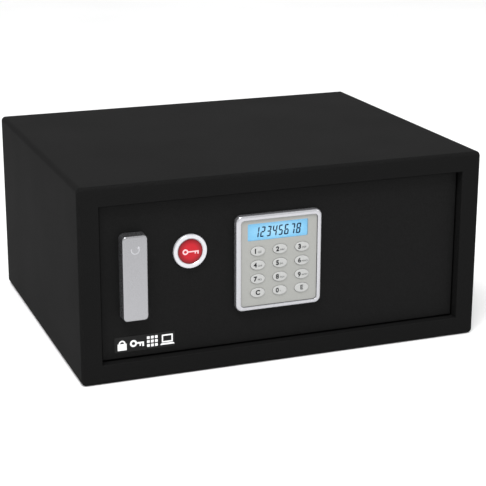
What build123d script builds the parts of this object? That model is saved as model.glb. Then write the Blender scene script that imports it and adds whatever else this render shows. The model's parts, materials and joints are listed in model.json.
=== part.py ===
from build123d import *
import math
import os

# In-room safe for a hotel wardrobe, wide enough for a laptop.
# Millimetres. +X is right seen from the front, +Y goes into the safe, +Z is up.
# The origin is the middle of the body's underside; the front faces -Y.

# ---------------------------------------------------------------- driving sizes

# body
body_width = 430.0
body_depth = 340.0
body_height = 200.0
sheet = 2.0               # folded steel of the body
wrap_bend_radius = 5.0    # outside radius of the four long corners
front_edge_radius = 4.0   # fold around the front of the body
back_edge_radius = 1.0
border_side = 21.0        # width of the front border beside the opening
border_top = 20.0         # height of the front border above and below it
frame_depth = 6.0         # how far back the pressed front frame reaches
flange_depth = 28.0       # how far the frame's edge is turned in around the opening
fold_radius = 0.8         # front edge of the opening
anchor_spacing = 200.0
anchor_hole_radius = 5.0
anchor_floor_y = 25.0
mat_thickness = 2.0
mat_margin = 3.0
mat_behind_flange = 36.0  # keeps the mat clear of the bolt work
mat_hole_radius = 12.0

# door
door_recess = 8.0
door_thickness = 5.0
door_gap = 2.0
door_gap_hinge_side = 2.5
door_edge_radius = 0.6

# concealed pivots
pivot_from_door_edge = 22.0
pin_radius = 3.0
pin_clearance = 0.05
pin_length = 24.0
bush_radius = 5.0
bush_collar_radius = 8.0
thrust_gap = 0.2
lug_thickness = 5.0
lug_width = 30.0
pin_recess = 1.0          # pin's end below the lug's outer face
hinge_bar_width = 14.0
hinge_bar_depth = 9.0

# stops and strike
stop_width = 6.0
stop_sheet = 1.5
stop_gap = 0.3
stop_depth = 10.0
stop_inset = 4.0          # from the opening's left edge
stop_swing_gap = 7.5      # to the swing of the door's hinge edge
strike_sheet = 3.0
strike_inset = 4.0        # from the opening's top and bottom edges
strike_margin = 8.0       # strike's rear edge behind the bolt holes
bolt_radius = 9.0
bolt_fit = 0.05           # running clearance of a bolt in its guide
bolt_hole_clearance = 0.8
bolt_inset = 26.0         # bolt axis from the door's top and bottom edges
bolt_axis_behind_door = 26.0
bolt_reach = 12.0         # tip past the door's left edge when locked
bolt_travel = 15.0

# lever
lever_width = 25.0
lever_length = 86.0
lever_proud = 12.0
lever_draft = 3.5         # degrees
lever_corner_radius = 4.0
lever_bevel = 1.7
lever_from_edge = 31.8    # spindle from the door's left edge
lever_above_mid = 35.5    # spindle above the door's middle
lever_top_margin = 13.8   # lever's top above its spindle
lever_gap = 0.5           # lever's back to the door
lever_angle = 45.0
lever_wall = 2.6          # skin of the hollow casting
hub_reach = 13.0          # solid stretch below the spindle
spindle_radius = 5.0
spindle_fit = 0.05
spindle_socket = 6.0      # how far the spindle enters the lever
spindle_square = 6.75     # width of the square that carries the crank
bush_wall = 2.0
bush_behind_door = 4.5
bush_flange_margin = 4.0
bush_flange_thickness = 3.0
crank_behind_door = 5.5
crank_thickness = 4.0
crank_hub_radius = 9.0
crank_pin_radius = 3.0
crank_pin_margin = 3.0    # crank's end round its pin
crank_pin_clearance = 0.3
washer_radius = 6.5
washer_thickness = 1.0
hex_head_radius = 3.6
hex_head_height = 2.4
hex_socket_radius = 1.8
hex_socket_depth = 1.6

# bolt carriage
carriage_sheet = 2.5
carriage_behind_door = 16.0
carriage_from_edge = 16.0     # its flange from the door's left edge
carriage_past_lever = 30.2    # its right edge past the spindle
carriage_inset = 22.0         # from the door's top and bottom edges
carriage_flange_inset = 14.0
gusset_width = 6.0
gusset_gap = 1.5              # above the solenoid's frame
rivet_radius = 4.0            # necked end of a bolt in the flange
guide_sheet = 3.0
guide_from_edge = 5.5         # lock base from the door's left edge
guide_past_lever = 22.0
guide_inset = 12.0            # from the door's top and bottom edges
guide_lip = 3.0               # upright past the bolt holes
guide_eye_margin = 7.0        # opening round the spindle
guide_post_radius = 3.0
post_head_margin = 2.0
post_head_height = 1.8
guide_slot_clearance = 0.3
post_past_lever = 16.2
low_post_inset = 33.0
high_post_inset = 28.0

# override lock and its cap
lock_from_edge = 90.8
lock_above_mid = 24.8
cap_radius = 17.35
cap_proud = 3.0
cap_edge_radius = 1.4
cap_inner_bevel = 1.1
emblem_radius = 12.65
emblem_depth = 0.8        # disc's rim behind the ring's front
emblem_sheet = 0.8
emblem_dome = 1.0
housing_radius = 10.0
housing_length = 25.0
plug_radius = 6.0
plug_fit = 0.05
keyhole_wall = 4.0        # front of the plug behind the door's face
keyway_width = 2.2
keyway_height = 7.6
keyway_depth = 12.0
tail_radius = 3.5
tail_head_margin = 2.0
cam_reach = 16.0
cam_width = 8.0
cam_sheet = 2.0
nut_margin = 5.0
nut_thickness = 5.0

# solenoid
coil_radius = 11.0
coil_height = 36.0
plunger_radius = 4.0
plunger_clearance = 0.3
plunger_axis_behind_door = 19.0
coil_frame_sheet = 2.0
coil_frame_margin = 1.0   # frame past the coil

# keypad
keypad_from_edge = 183.4
keypad_above_mid = 6.1
bezel_width = 92.0
bezel_height = 99.5
bezel_proud = 6.0
bezel_corner_radius = 7.0
bezel_edge_radius = 2.4
bezel_inner_radius = 0.8
panel_width = 81.4
panel_height = 89.2
panel_corner_radius = 3.0
panel_gap = 0.35          # all round, to the bezel
panel_sink = 1.5          # panel's face behind the bezel's front
panel_sheet = 1.5
bezel_screw_inset = 2.9   # keypad screws from the bezel's sides
bezel_screw_height = 30.0 # above and below the bezel's centre
panel_shift_x = 0.3
panel_shift_z = -0.4
window_width = 64.5
window_height = 17.5
window_shift_x = -1.1
window_above_centre = 31.7
key_width = 15.2
key_height = 9.7
key_pitch_x = 23.8
key_pitch_z = 14.5
key_rows_top = 12.1       # top row above the bezel's centre
key_column_shift = 1.0    # middle column right of the bezel's centre
key_proud = 1.0
key_clearance = 0.3
key_flange = 1.0
cable_width = 16.0
cable_sheet = 1.0
cable_slot_margin = 3.0
cable_above_edge = 15.0   # over the bezel's bottom edge

# rear cover and what it hides
cover_depth = 44.0
cover_sheet = 1.5
cover_margin = 8.0        # door's top and bottom edges to the cover
cover_left_inset = 3.5
cover_from_pivot = 19.5
cover_corner_radius = 3.0
cover_screw_inset = 10.0  # screws from the cover's edges
screw_radius = 1.5
screw_head_radius = 2.9
screw_head_height = 2.0
screw_length = 6.0
standoff_radius = 4.0
board_sheet = 1.6
board_width = 85.0
board_height = 86.0
board_behind_door = 11.0
cell_radius = 7.25
cell_length = 49.5
cell_pitch = 15.6
tray_wall = 1.5
tray_depth = 18.0
contact_room = 3.5
lead_radius = 1.0
button_radius = 2.4
button_travel = 1.0

# nameplate
plate_width = 62.0
plate_height = 16.0
plate_sheet = 0.4
plate_from_edge = 43.3    # its middle from the door's left edge
plate_above_edge = 14.0   # its middle above the door's bottom edge

# ---------------------------------------------------------------- derived places

front_y = -body_depth / 2
back_y = body_depth / 2
mid_z = body_height / 2
frame_back_y = front_y + frame_depth
flange_back_y = front_y + flange_depth
open_half_width = body_width / 2 - border_side
open_low = border_top
open_high = body_height - border_top
open_height = open_high - open_low

face_y = front_y + door_recess
rear_y = face_y + door_thickness
door_left = -open_half_width + door_gap
door_right = open_half_width - door_gap_hinge_side
door_low = open_low + door_gap
door_high = open_high - door_gap
door_width = door_right - door_left
door_height = door_high - door_low
door_mid_x = (door_left + door_right) / 2

pivot_x = door_right - pivot_from_door_edge
pivot_y = rear_y + hinge_bar_depth / 2

lever_x = door_left + lever_from_edge
lever_z = mid_z + lever_above_mid
lever_back_y = face_y - lever_gap
lever_front_y = face_y - lever_proud
crank_front_y = rear_y + crank_behind_door
crank_back_y = crank_front_y + crank_thickness
crank_swing = lever_angle / 2
crank_radius = bolt_travel / (2 * math.sin(math.radians(crank_swing)))
crank_pin_x = lever_x - bolt_travel / 2
crank_pin_z = lever_z - crank_radius * math.cos(math.radians(crank_swing))
crank_lift = crank_radius * (1 - math.cos(math.radians(crank_swing)))

bolt_y = rear_y + bolt_axis_behind_door
bolt_heights = (door_low + bolt_inset, door_high - bolt_inset)
bolt_tip_x = door_left - bolt_reach
carriage_left = door_left + carriage_from_edge
carriage_right = lever_x + carriage_past_lever
carriage_front_y = rear_y + carriage_behind_door
carriage_back_y = carriage_front_y + carriage_sheet
carriage_low = door_low + carriage_inset
carriage_high = door_high - carriage_inset
guide_x = door_left + guide_from_edge
guide_right = lever_x + guide_past_lever
post_x = lever_x + post_past_lever
post_heights = (door_low + low_post_inset, door_high - high_post_inset)

lock_x = door_left + lock_from_edge
lock_z = mid_z + lock_above_mid
housing_back_y = face_y + housing_length
cam_front_y = housing_back_y + 0.6
plunger_y = rear_y + plunger_axis_behind_door
plunger_top = lock_z - 17.0
coil_top = plunger_top - 10.0
coil_low = coil_top - coil_height
coil_frame_half = coil_radius + coil_frame_margin
tab_low = plunger_top + 1.5
tab_high = tab_low + 4.0
tab_end_x = lock_x - plunger_radius - 1.5

keypad_x = door_left + keypad_from_edge
keypad_z = mid_z + keypad_above_mid
bezel_front_y = face_y - bezel_proud
panel_front_y = bezel_front_y + panel_sink
panel_back_y = panel_front_y + panel_sheet
panel_x = keypad_x + panel_shift_x
panel_z = keypad_z + panel_shift_z
window_x = keypad_x + window_shift_x
window_z = keypad_z + window_above_centre
keypad_board_sheet = 1.0
cable_z = keypad_z - bezel_height / 2 + cable_above_edge

cover_back_y = rear_y + cover_depth
cover_left = door_left + cover_left_inset
cover_right = pivot_x - cover_from_pivot
cover_low = door_low + cover_margin
cover_high = door_high - cover_margin
cover_mid_x = (cover_left + cover_right) / 2
cover_screws_at = [
    (x, z)
    for x in (lock_x + coil_frame_half + standoff_radius + 1.5, cover_right - cover_screw_inset)
    for z in (cover_low + cover_screw_inset, cover_high - cover_screw_inset)
]
keypad_screws_at = [
    (keypad_x + side * (bezel_width / 2 - bezel_screw_inset), keypad_z + level * bezel_screw_height)
    for side in (-1, 1)
    for level in (-1, 1)
]
board_x = keypad_x + 2.0
board_z = mid_z + 4.0
board_front_y = rear_y + board_behind_door
board_back_y = board_front_y + board_sheet
board_posts_at = [
    (board_x + side * (board_width / 2 - 4.0), board_z + level * (board_height / 2 - 4.0))
    for side in (-1, 1)
    for level in (-1, 1)
]
tray_right = cover_right - 22.0
tray_left = tray_right - (cell_length + 2 * contact_room + 2 * tray_wall)
tray_half_height = 2 * cell_pitch + tray_wall + 0.6
tray_back_y = cover_back_y - 2.0
tray_front_y = tray_back_y - tray_depth
tray_mid_x = (tray_left + tray_right) / 2
cell_y = tray_front_y + tray_wall + cell_radius + 0.25
button_x = board_x + 20.0
button_z = board_z - 30.0


# ---------------------------------------------------------------- helpers

def facing(y, x=0.0, z=mid_z):
    """A plane facing the front at depth y: its X is right and its Y is up."""
    return Plane(origin=(x, y, z), x_dir=(1, 0, 0), z_dir=(0, -1, 0))


def block(x_span, y_span, z_span, mode=Mode.ADD):
    """A box between two corners, given as its span along each axis."""
    spans = (x_span, y_span, z_span)
    with Locations([tuple((low + high) / 2 for low, high in spans)]):
        Box(*[high - low for low, high in spans], mode=mode)


def rod_x(radius, x_span, y, z, mode=Mode.ADD):
    """A round bar along X."""
    with Locations(Location(((x_span[0] + x_span[1]) / 2, y, z), (0, 90, 0))):
        Cylinder(radius, x_span[1] - x_span[0], mode=mode)


def rod_y(radius, x, y_span, z, mode=Mode.ADD):
    """A round bar along Y."""
    with Locations(Location((x, (y_span[0] + y_span[1]) / 2, z), (90, 0, 0))):
        Cylinder(radius, y_span[1] - y_span[0], mode=mode)


def rod_z(radius, x, y, z_span, mode=Mode.ADD):
    """A round bar along Z."""
    with Locations((x, y, (z_span[0] + z_span[1]) / 2)):
        Cylinder(radius, z_span[1] - z_span[0], mode=mode)


def lead_radii(points):
    """The largest bend at each point of a lead: 0.45 of its shorter run over tan(half the turn)."""
    radii = []
    for before, here, after in zip(points, points[1:], points[2:]):
        run_in = Vector(*here) - Vector(*before)
        run_out = Vector(*after) - Vector(*here)
        half_turn = math.radians(run_in.get_angle(run_out)) / 2
        radii.append(0.45 * min(run_in.length, run_out.length) / math.tan(half_turn))
    return radii


os.makedirs("parts", exist_ok=True)

# ---------------------------------------------------------------- body

# The sheet wrapped round the top, sides and floor.
with BuildPart() as body_shell:
    with BuildSketch(facing(back_y - sheet)):
        RectangleRounded(body_width, body_height, wrap_bend_radius)
        RectangleRounded(
            body_width - 2 * sheet,
            body_height - 2 * sheet,
            wrap_bend_radius - sheet,
            mode=Mode.SUBTRACT,
        )
    extrude(amount=back_y - sheet - frame_back_y)
    for side in (-1, 1):
        rod_z(anchor_hole_radius, side * anchor_spacing / 2, anchor_floor_y, (-1, sheet + 1), Mode.SUBTRACT)
body_shell.part.label = "body_shell"
export_step(body_shell.part, "parts/body_shell.step")

# The pressed front: a border with its edge turned in around the opening.
with BuildPart() as front_frame:
    with BuildSketch(facing(frame_back_y)):
        RectangleRounded(body_width, body_height, wrap_bend_radius)
    extrude(amount=frame_depth)
    fillet(front_frame.faces().sort_by(Axis.Y)[0].edges(), front_edge_radius)
    with BuildSketch(facing(frame_back_y)):
        RectangleRounded(body_width - 2 * sheet, body_height - 2 * sheet, wrap_bend_radius - sheet)
    extrude(amount=frame_depth - sheet, mode=Mode.SUBTRACT)
    with BuildSketch(facing(flange_back_y)):
        Rectangle(2 * (open_half_width + sheet), open_height + 2 * sheet)
    extrude(amount=flange_depth - sheet / 2)
    with BuildSketch(facing(flange_back_y)):
        Rectangle(2 * open_half_width, open_height)
    extrude(amount=flange_depth, mode=Mode.SUBTRACT)
    opening_edges = front_frame.faces().sort_by(Axis.Y)[0].inner_wires()[0].edges()
    fillet(opening_edges, fold_radius)
    rod_z(bush_radius, pivot_x, pivot_y, (open_low - sheet - 1, open_low + 1), Mode.SUBTRACT)
    rod_z(bush_radius, pivot_x, pivot_y, (open_high - 1, open_high + sheet + 1), Mode.SUBTRACT)
front_frame.part.label = "front_frame"
export_step(front_frame.part, "parts/front_frame.step")

# The back, welded over the end of the wrap, with two anchor holes.
with BuildPart() as back_panel:
    with BuildSketch(facing(back_y)):
        RectangleRounded(body_width, body_height, wrap_bend_radius)
    extrude(amount=sheet)
    fillet(back_panel.faces().sort_by(Axis.Y)[-1].edges(), back_edge_radius)
    for side in (-1, 1):
        hole_span = (back_y - sheet - 1, back_y + 1)
        rod_y(anchor_hole_radius, side * anchor_spacing / 2, hole_span, mid_z, Mode.SUBTRACT)
back_panel.part.label = "back_panel"
export_step(back_panel.part, "parts/back_panel.step")

# The strike behind the left border: an angle from the turned-in edge to the side wall.
with BuildPart() as strike_plate:
    strike_back_y = bolt_y + bolt_radius + strike_margin
    strike_left = -open_half_width - strike_sheet
    strike_span = (open_low + strike_inset, open_high - strike_inset)
    block((strike_left, -open_half_width), (flange_back_y, strike_back_y), strike_span)
    leg_span = (-body_width / 2 + sheet, -open_half_width)
    block(leg_span, (strike_back_y - sheet, strike_back_y), strike_span)
    for height in bolt_heights:
        hole_span = (strike_left - 1, -open_half_width + 1)
        rod_x(bolt_radius + bolt_hole_clearance, hole_span, bolt_y, height, Mode.SUBTRACT)
strike_plate.part.label = "strike_plate"
export_step(strike_plate.part, "parts/strike_plate.step")

# Angles above and below the opening that the closed door rests against.
with BuildPart() as door_stops:
    stop_front_y = rear_y + stop_gap
    stop_x = (-open_half_width + stop_inset, pivot_x - pivot_from_door_edge - stop_swing_gap)
    for edge, inward in ((open_low, 1), (open_high, -1)):
        lip = sorted((edge, edge + inward * stop_width))
        leg = sorted((edge, edge + inward * stop_sheet))
        block(stop_x, (stop_front_y, stop_front_y + stop_sheet), lip)
        block(stop_x, (stop_front_y, stop_front_y + stop_depth), leg)
door_stops.part.label = "door_stops"
export_step(door_stops.part, "parts/door_stops.step")

# Thick lugs behind the turned-in edge, which carry the pivots.
with BuildPart() as hinge_lugs:
    lug_x = (pivot_x - lug_width / 2, pivot_x + lug_width / 2)
    lug_y = (front_y + sheet, flange_back_y)
    for low, high in (
        (open_low - sheet - lug_thickness, open_low - sheet),
        (open_high + sheet, open_high + sheet + lug_thickness),
    ):
        block(lug_x, lug_y, (low, high))
        rod_z(bush_radius, pivot_x, pivot_y, (low - 1, high + 1), Mode.SUBTRACT)
hinge_lugs.part.label = "hinge_lugs"
export_step(hinge_lugs.part, "parts/hinge_lugs.step")

# Collared bushes: the barrel sits in frame and lug, the collar takes the door's weight.
with BuildPart() as hinge_bushes:
    for edge, outward in ((open_low, -1), (open_high, 1)):
        barrel = sorted((edge, edge + outward * (sheet + lug_thickness)))
        collar = sorted((edge, edge - outward * (door_gap - thrust_gap)))
        rod_z(bush_radius, pivot_x, pivot_y, barrel)
        rod_z(bush_collar_radius, pivot_x, pivot_y, collar)
        bore = (min(barrel + collar) - 1, max(barrel + collar) + 1)
        rod_z(pin_radius + pin_clearance, pivot_x, pivot_y, bore, Mode.SUBTRACT)
hinge_bushes.part.label = "hinge_bushes"
export_step(hinge_bushes.part, "parts/hinge_bushes.step")

# Felt on the floor, cut out round the two floor anchors.
with BuildPart() as floor_mat:
    mat_half = body_width / 2 - sheet - mat_margin
    mat_y = (flange_back_y + mat_behind_flange, back_y - sheet - mat_margin)
    block((-mat_half, mat_half), mat_y, (sheet, sheet + mat_thickness))
    for side in (-1, 1):
        hole_span = (sheet - 1, sheet + mat_thickness + 1)
        rod_z(mat_hole_radius, side * anchor_spacing / 2, anchor_floor_y, hole_span, Mode.SUBTRACT)
floor_mat.part.label = "floor_mat"
export_step(floor_mat.part, "parts/floor_mat.step")

# ---------------------------------------------------------------- door

with BuildPart() as door_plate:
    with BuildSketch(facing(rear_y, door_mid_x, (door_low + door_high) / 2)):
        Rectangle(door_width, door_height)
    extrude(amount=door_thickness)
    fillet(door_plate.faces().sort_by(Axis.Y)[0].edges(), door_edge_radius)
    through = (face_y - 1, rear_y + 1)
    bush_barrel_radius = spindle_radius + bush_wall
    rod_y(bush_barrel_radius, lever_x, through, lever_z, Mode.SUBTRACT)
    rod_y(housing_radius, lock_x, through, lock_z, Mode.SUBTRACT)
    slot_reach = cable_width / 2 + cable_slot_margin
    slot_rise = cable_sheet + cable_slot_margin
    slot_x = (keypad_x - slot_reach, keypad_x + slot_reach)
    block(slot_x, through, (cable_z - slot_rise, cable_z + slot_rise), Mode.SUBTRACT)
    for x, z in keypad_screws_at:
        rod_y(screw_radius, x, through, z, Mode.SUBTRACT)
door_plate.part.label = "door_plate"
export_step(door_plate.part, "parts/door_plate.step")

# Square bar welded inside the hinge edge, bored at both ends for the pins.
with BuildPart() as hinge_bar:
    bar_span = (door_low + thrust_gap, door_high - thrust_gap)
    bar_x = (pivot_x - hinge_bar_width / 2, pivot_x + hinge_bar_width / 2)
    block(bar_x, (rear_y, rear_y + hinge_bar_depth), bar_span)
    pin_low = open_low - sheet - lug_thickness + pin_recess
    pin_high = open_high + sheet + lug_thickness - pin_recess
    pin_spans = ((pin_low, pin_low + pin_length), (pin_high - pin_length, pin_high))
    for span in pin_spans:
        rod_z(pin_radius, pivot_x, pivot_y, span, Mode.SUBTRACT)
hinge_bar.part.label = "hinge_bar"
export_step(hinge_bar.part, "parts/hinge_bar.step")

with BuildPart() as hinge_pins:
    for span in pin_spans:
        rod_z(pin_radius, pivot_x, pivot_y, span)
    chamfer(hinge_pins.edges().filter_by(GeomType.CIRCLE), 0.5)
hinge_pins.part.label = "hinge_pins"
export_step(hinge_pins.part, "parts/hinge_pins.step")

# Lock base: foot on the door's back, and an upright that guides the two bolts.
with BuildPart() as bolt_guide:
    foot_span = (door_low + guide_inset, door_high - guide_inset)
    block((guide_x, guide_right), (rear_y, rear_y + sheet), foot_span)
    upright_y = (rear_y, bolt_y + bolt_radius + guide_lip)
    block((guide_x, guide_x + guide_sheet), upright_y, foot_span)
    for height in bolt_heights:
        hole_span = (guide_x - 1, guide_x + guide_sheet + 1)
        rod_x(bolt_radius + bolt_fit, hole_span, bolt_y, height, Mode.SUBTRACT)
    eye_radius = spindle_radius + guide_eye_margin
    rod_y(eye_radius, lever_x, (rear_y - 1, rear_y + sheet + 1), lever_z, Mode.SUBTRACT)
bolt_guide.part.label = "bolt_guide"
export_step(bolt_guide.part, "parts/bolt_guide.step")

# Shouldered posts that hold the carriage to the lock base.
with BuildPart() as guide_posts:
    head_y = carriage_back_y + guide_slot_clearance
    for height in post_heights:
        rod_y(guide_post_radius, post_x, (rear_y + sheet, head_y), height)
        rod_y(guide_post_radius + post_head_margin, post_x, (head_y, head_y + post_head_height), height)
guide_posts.part.label = "guide_posts"
export_step(guide_posts.part, "parts/guide_posts.step")

with BuildPart() as spindle_bush:
    bush_back_y = rear_y + bush_behind_door
    bush_flange_radius = bush_barrel_radius + bush_flange_margin
    rod_y(bush_barrel_radius, lever_x, (face_y, bush_back_y), lever_z)
    rod_y(bush_flange_radius, lever_x, (rear_y, rear_y + bush_flange_thickness), lever_z)
    rod_y(spindle_radius + spindle_fit, lever_x, (face_y - 1, bush_back_y + 1), lever_z, Mode.SUBTRACT)
spindle_bush.part.label = "spindle_bush"
export_step(spindle_bush.part, "parts/spindle_bush.step")

# ---------------------------------------------------------------- lever and crank

# A drafted, hollow-backed bar with a rounded front edge, solid around its spindle.
with BuildPart() as lever:
    lever_rise = lever_back_y - lever_front_y
    back_growth = 2 * lever_rise * math.tan(math.radians(lever_draft))
    lever_top = lever_z + lever_top_margin
    lever_low = lever_top - lever_length
    with BuildSketch(facing(lever_back_y, lever_x, (lever_low + lever_top) / 2)):
        RectangleRounded(
            lever_width + back_growth,
            lever_length + back_growth,
            lever_corner_radius + back_growth / 2,
        )
    extrude(amount=lever_rise, taper=lever_draft)
    fillet(lever.faces().sort_by(Axis.Y)[0].edges(), lever_bevel)
    pocket_low = lever_low + lever_wall
    pocket_high = lever_z - hub_reach
    with BuildSketch(facing(lever_back_y, lever_x, (pocket_low + pocket_high) / 2)):
        RectangleRounded(lever_width - 2 * lever_wall, pocket_high - pocket_low, lever_corner_radius - 1.5)
    extrude(amount=lever_rise - lever_wall, mode=Mode.SUBTRACT)
    socket = (lever_back_y - spindle_socket, lever_back_y + 1)
    rod_y(spindle_radius, lever_x, socket, lever_z, Mode.SUBTRACT)
lever.part.label = "lever"
export_step(lever.part, "parts/lever.step")

with BuildPart() as lever_spindle:
    rod_y(spindle_radius, lever_x, (lever_back_y - spindle_socket, crank_front_y), lever_z)
    with BuildSketch(facing(crank_back_y, lever_x, lever_z)):
        Rectangle(spindle_square, spindle_square)
    extrude(amount=crank_thickness)
lever_spindle.part.label = "lever_spindle"
export_step(lever_spindle.part, "parts/lever_spindle.step")

# The crank turns half to each side of straight down, and its pin drives the carriage.
with BuildPart() as crank:
    with BuildSketch(facing(crank_back_y, lever_x, lever_z)):
        Circle(crank_hub_radius)
        with Locations((crank_pin_x - lever_x, crank_pin_z - lever_z)):
            Circle(crank_pin_radius + crank_pin_margin)
        make_hull()
        Rectangle(spindle_square, spindle_square, mode=Mode.SUBTRACT)
    extrude(amount=crank_thickness)
    rod_y(crank_pin_radius, crank_pin_x, (crank_front_y, carriage_back_y + 1.5), crank_pin_z)
crank.part.label = "crank"
export_step(crank.part, "parts/crank.step")

with BuildPart() as spindle_screw:
    washer_back_y = crank_back_y + washer_thickness
    head_back_y = washer_back_y + hex_head_height
    rod_y(washer_radius, lever_x, (crank_back_y, washer_back_y), lever_z)
    rod_y(hex_head_radius, lever_x, (washer_back_y, head_back_y), lever_z)
    with BuildSketch(facing(head_back_y, lever_x, lever_z)):
        RegularPolygon(radius=hex_socket_radius, side_count=6)
    extrude(amount=hex_socket_depth, mode=Mode.SUBTRACT)
spindle_screw.part.label = "spindle_screw"
export_step(spindle_screw.part, "parts/spindle_screw.step")

# ---------------------------------------------------------------- bolt carriage

with BuildPart() as bolt_carriage:
    carriage_y = (carriage_front_y, carriage_back_y)
    block((carriage_left, carriage_right), carriage_y, (carriage_low, carriage_high))
    flange_y = (carriage_front_y, bolt_y + bolt_radius)
    flange_z = (door_low + carriage_flange_inset, door_high - carriage_flange_inset)
    block((carriage_left, carriage_left + carriage_sheet), flange_y, flange_z)
    block((carriage_right, tab_end_x), carriage_y, (tab_low, tab_high))
    gusset_low = coil_top + coil_frame_sheet + gusset_gap
    block((carriage_right, carriage_right + gusset_width), carriage_y, (gusset_low, tab_high))
    slot_half = crank_pin_radius + crank_pin_clearance
    slot_z = (crank_pin_z - crank_lift - slot_half, crank_pin_z + slot_half)
    block((crank_pin_x - slot_half, crank_pin_x + slot_half), carriage_y, slot_z, Mode.SUBTRACT)
    for height in post_heights:
        guide_half = guide_post_radius + guide_slot_clearance
        slot_x = (post_x - bolt_travel - guide_half, post_x + guide_half)
        block(slot_x, carriage_y, (height - guide_half, height + guide_half), Mode.SUBTRACT)
    for height in bolt_heights:
        hole_span = (carriage_left - 1, carriage_left + carriage_sheet + 1)
        rod_x(rivet_radius, hole_span, bolt_y, height, Mode.SUBTRACT)
bolt_carriage.part.label = "bolt_carriage"
export_step(bolt_carriage.part, "parts/bolt_carriage.step")

# Two round bolts, riveted through the carriage's flange.
with BuildPart() as locking_bolts:
    for height in bolt_heights:
        rod_x(bolt_radius, (bolt_tip_x, carriage_left), bolt_y, height)
    chamfer(locking_bolts.faces().sort_by(Axis.X)[0:2].edges(), 1.5)
    for height in bolt_heights:
        rod_x(rivet_radius, (carriage_left, carriage_left + carriage_sheet + 1.0), bolt_y, height)
locking_bolts.part.label = "locking_bolts"
export_step(locking_bolts.part, "parts/locking_bolts.step")

# ---------------------------------------------------------------- solenoid

with BuildPart() as solenoid_frame:
    frame_x = (lock_x - coil_frame_half, lock_x + coil_frame_half)
    frame_y = (rear_y, plunger_y + coil_frame_half)
    frame_z = (coil_low - coil_frame_sheet, coil_top + coil_frame_sheet)
    block(frame_x, (rear_y, rear_y + coil_frame_sheet), frame_z)
    for low, high in ((frame_z[0], coil_low), (coil_top, frame_z[1])):
        block(frame_x, frame_y, (low, high))
        rod_z(plunger_radius + plunger_clearance, lock_x, plunger_y, (low - 1, high + 1), Mode.SUBTRACT)
solenoid_frame.part.label = "solenoid_frame"
export_step(solenoid_frame.part, "parts/solenoid_frame.step")

# Bobbin with its winding.
with BuildPart() as solenoid_coil:
    rod_z(coil_radius - 1.2, lock_x, plunger_y, (coil_low, coil_top))
    for low, high in ((coil_low, coil_low + 1.5), (coil_top - 1.5, coil_top)):
        rod_z(coil_radius, lock_x, plunger_y, (low, high))
    bore = (coil_low - 1, coil_top + 1)
    rod_z(plunger_radius + plunger_clearance, lock_x, plunger_y, bore, Mode.SUBTRACT)
solenoid_coil.part.label = "solenoid_coil"
export_step(solenoid_coil.part, "parts/solenoid_coil.step")

with BuildPart() as solenoid_plunger:
    rod_z(plunger_radius, lock_x, plunger_y, (coil_low + 2.0, plunger_top))
    rod_z(plunger_radius + 1.0, lock_x, plunger_y, (plunger_top - 3.5, plunger_top - 2.0))
    chamfer(solenoid_plunger.faces().sort_by(Axis.Z)[-1].edges(), 0.6)
solenoid_plunger.part.label = "solenoid_plunger"
export_step(solenoid_plunger.part, "parts/solenoid_plunger.step")

# The return spring, shown pressed together by the pulled-in plunger.
with BuildPart() as plunger_spring:
    spring_wire = 0.28
    spring_low = coil_top + coil_frame_sheet + spring_wire
    spring_high = plunger_top - 3.5 - spring_wire
    spring_radius = plunger_radius + 0.6
    with BuildLine(Plane(origin=(lock_x, plunger_y, spring_low))) as spring_path:
        Helix(pitch=(spring_high - spring_low) / 3.5, height=spring_high - spring_low, radius=spring_radius)
    start = Plane(origin=spring_path.line @ 0, z_dir=spring_path.line % 0)
    with BuildSketch(start):
        Circle(spring_wire)
    sweep(is_frenet=True)
plunger_spring.part.label = "plunger_spring"
export_step(plunger_spring.part, "parts/plunger_spring.step")

# ---------------------------------------------------------------- override lock and cap

with BuildPart() as lock_housing:
    rod_y(housing_radius, lock_x, (face_y, housing_back_y), lock_z)
    rod_y(plug_radius + plug_fit, lock_x, (face_y - 1, housing_back_y + 1), lock_z, Mode.SUBTRACT)
    rod_y(plug_radius + 2.5, lock_x, (face_y - 1, face_y + keyhole_wall), lock_z, Mode.SUBTRACT)
lock_housing.part.label = "lock_housing"
export_step(lock_housing.part, "parts/lock_housing.step")

with BuildPart() as lock_nut:
    with BuildSketch(facing(rear_y + nut_thickness, lock_x, lock_z)):
        RegularPolygon(radius=housing_radius + nut_margin, side_count=6)
        Circle(housing_radius, mode=Mode.SUBTRACT)
    extrude(amount=nut_thickness)
lock_nut.part.label = "lock_nut"
export_step(lock_nut.part, "parts/lock_nut.step")

# The plug with its keyway, and the tail that carries the cam.
with BuildPart() as lock_plug:
    plug_front_y = face_y + keyhole_wall
    cam_back_y = cam_front_y + cam_sheet
    rod_y(plug_radius, lock_x, (plug_front_y, housing_back_y), lock_z)
    rod_y(tail_radius, lock_x, (housing_back_y, cam_back_y), lock_z)
    rod_y(tail_radius + tail_head_margin, lock_x, (cam_back_y, cam_back_y + tail_head_margin), lock_z)
    keyway_x = (lock_x - keyway_width / 2, lock_x + keyway_width / 2)
    keyway_z = (lock_z - keyway_height / 2, lock_z + keyway_height / 2)
    block(keyway_x, (plug_front_y - 1, plug_front_y + keyway_depth), keyway_z, Mode.SUBTRACT)
lock_plug.part.label = "lock_plug"
export_step(lock_plug.part, "parts/lock_plug.step")

with BuildPart() as lock_cam:
    with BuildSketch(facing(cam_back_y, lock_x, lock_z)):
        Circle(tail_radius + 3.0)
        with Locations((cam_reach / 2, 0)):
            RectangleRounded(cam_reach, cam_width, cam_width / 4)
        Circle(tail_radius, mode=Mode.SUBTRACT)
    extrude(amount=cam_sheet)
lock_cam.part.label = "lock_cam"
export_step(lock_cam.part, "parts/lock_cam.step")

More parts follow.
